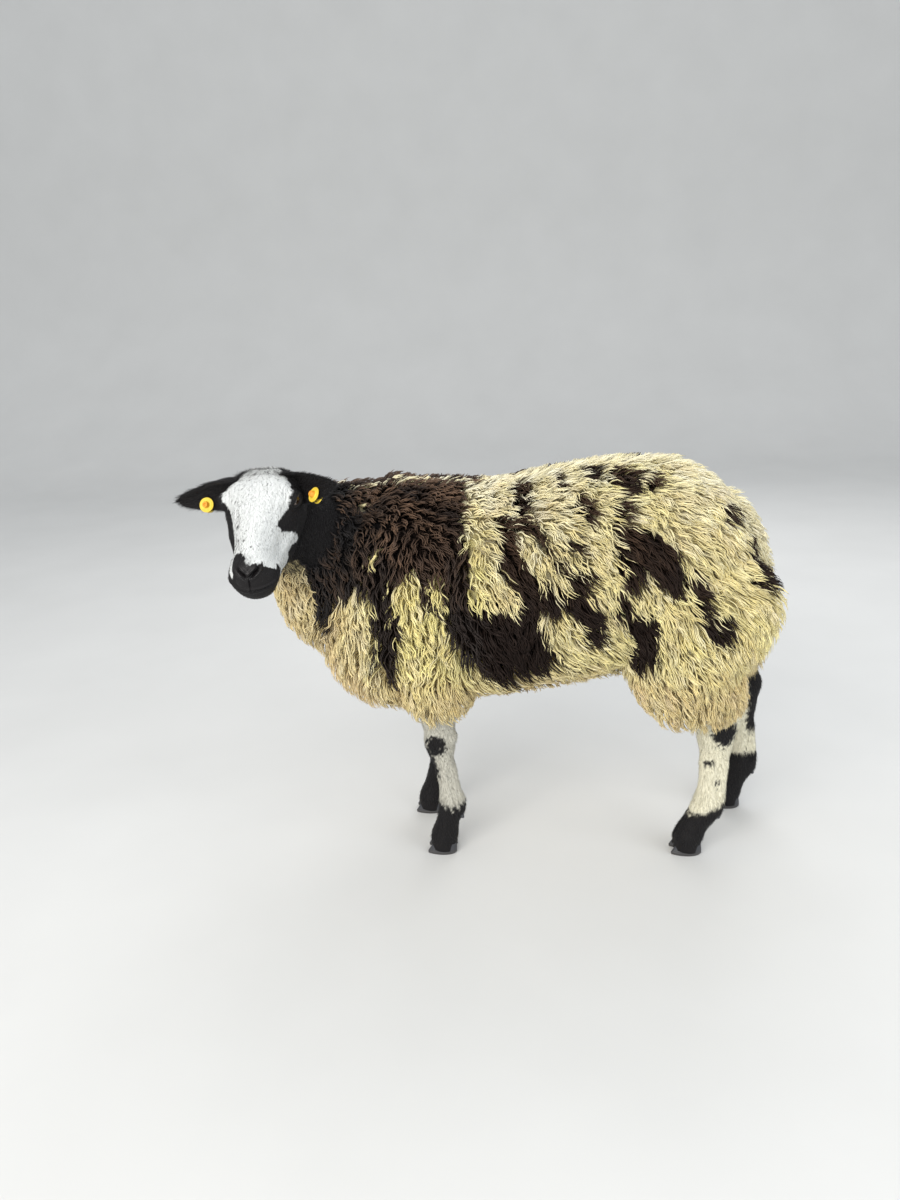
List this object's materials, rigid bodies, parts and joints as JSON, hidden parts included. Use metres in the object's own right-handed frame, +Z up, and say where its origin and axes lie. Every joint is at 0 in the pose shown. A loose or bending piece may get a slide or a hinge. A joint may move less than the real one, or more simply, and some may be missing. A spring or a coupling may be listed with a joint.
{
  "type": "standing ram lamb figure",
  "caption": "Life-size figure of a spotted ram lamb in full fleece, standing with its head turned to its left, a round tag in each ear.",
  "frame": {"origin": "on the floor, under the middle of the figure's bounding box", "axes": "the lamb faces -X and its tail is towards +X, its left side faces -Y, and +Z is up"},
  "size_m": [1.0331, 0.5177, 0.7552],
  "materials": {
    "fleece": "long curly wool, cream with near-black brown patches",
    "face_hair": "short smooth hair, white blaze and black cheeks and muzzle",
    "leg_hair": "short hair, grey white with black patches",
    "ear_hair": "short black hair",
    "purse_skin": "short pale hair",
    "claw_horn": "dull dark horn",
    "eye": "wet, amber brown with a level pupil",
    "tag_plastic": "smooth yellow plastic"
  },
  "bodies": {
    "root": {"claw_fore_left_inner": "claw_horn", "claw_fore_left_outer": "claw_horn", "claw_fore_right_inner": "claw_horn", "claw_fore_right_outer": "claw_horn", "claw_hind_left_inner": "claw_horn", "claw_hind_left_outer": "claw_horn", "claw_hind_right_inner": "claw_horn", "claw_hind_right_outer": "claw_horn", "ear_left": "ear_hair", "ear_right": "ear_hair", "eye_left": "eye", "eye_right": "eye", "fore_leg_left": "leg_hair", "fore_leg_right": "leg_hair", "head": "face_hair", "hind_leg_left": "leg_hair", "hind_leg_right": "leg_hair", "neck": "fleece", "purse": "purse_skin", "tag_left_back": "tag_plastic", "tag_left_cap": "tag_plastic", "tag_right_back": "tag_plastic", "tag_right_cap": "tag_plastic", "tail": "fleece", "thigh_left": "fleece", "thigh_right": "fleece", "torso": "fleece"}
  },
  "joints": []
}
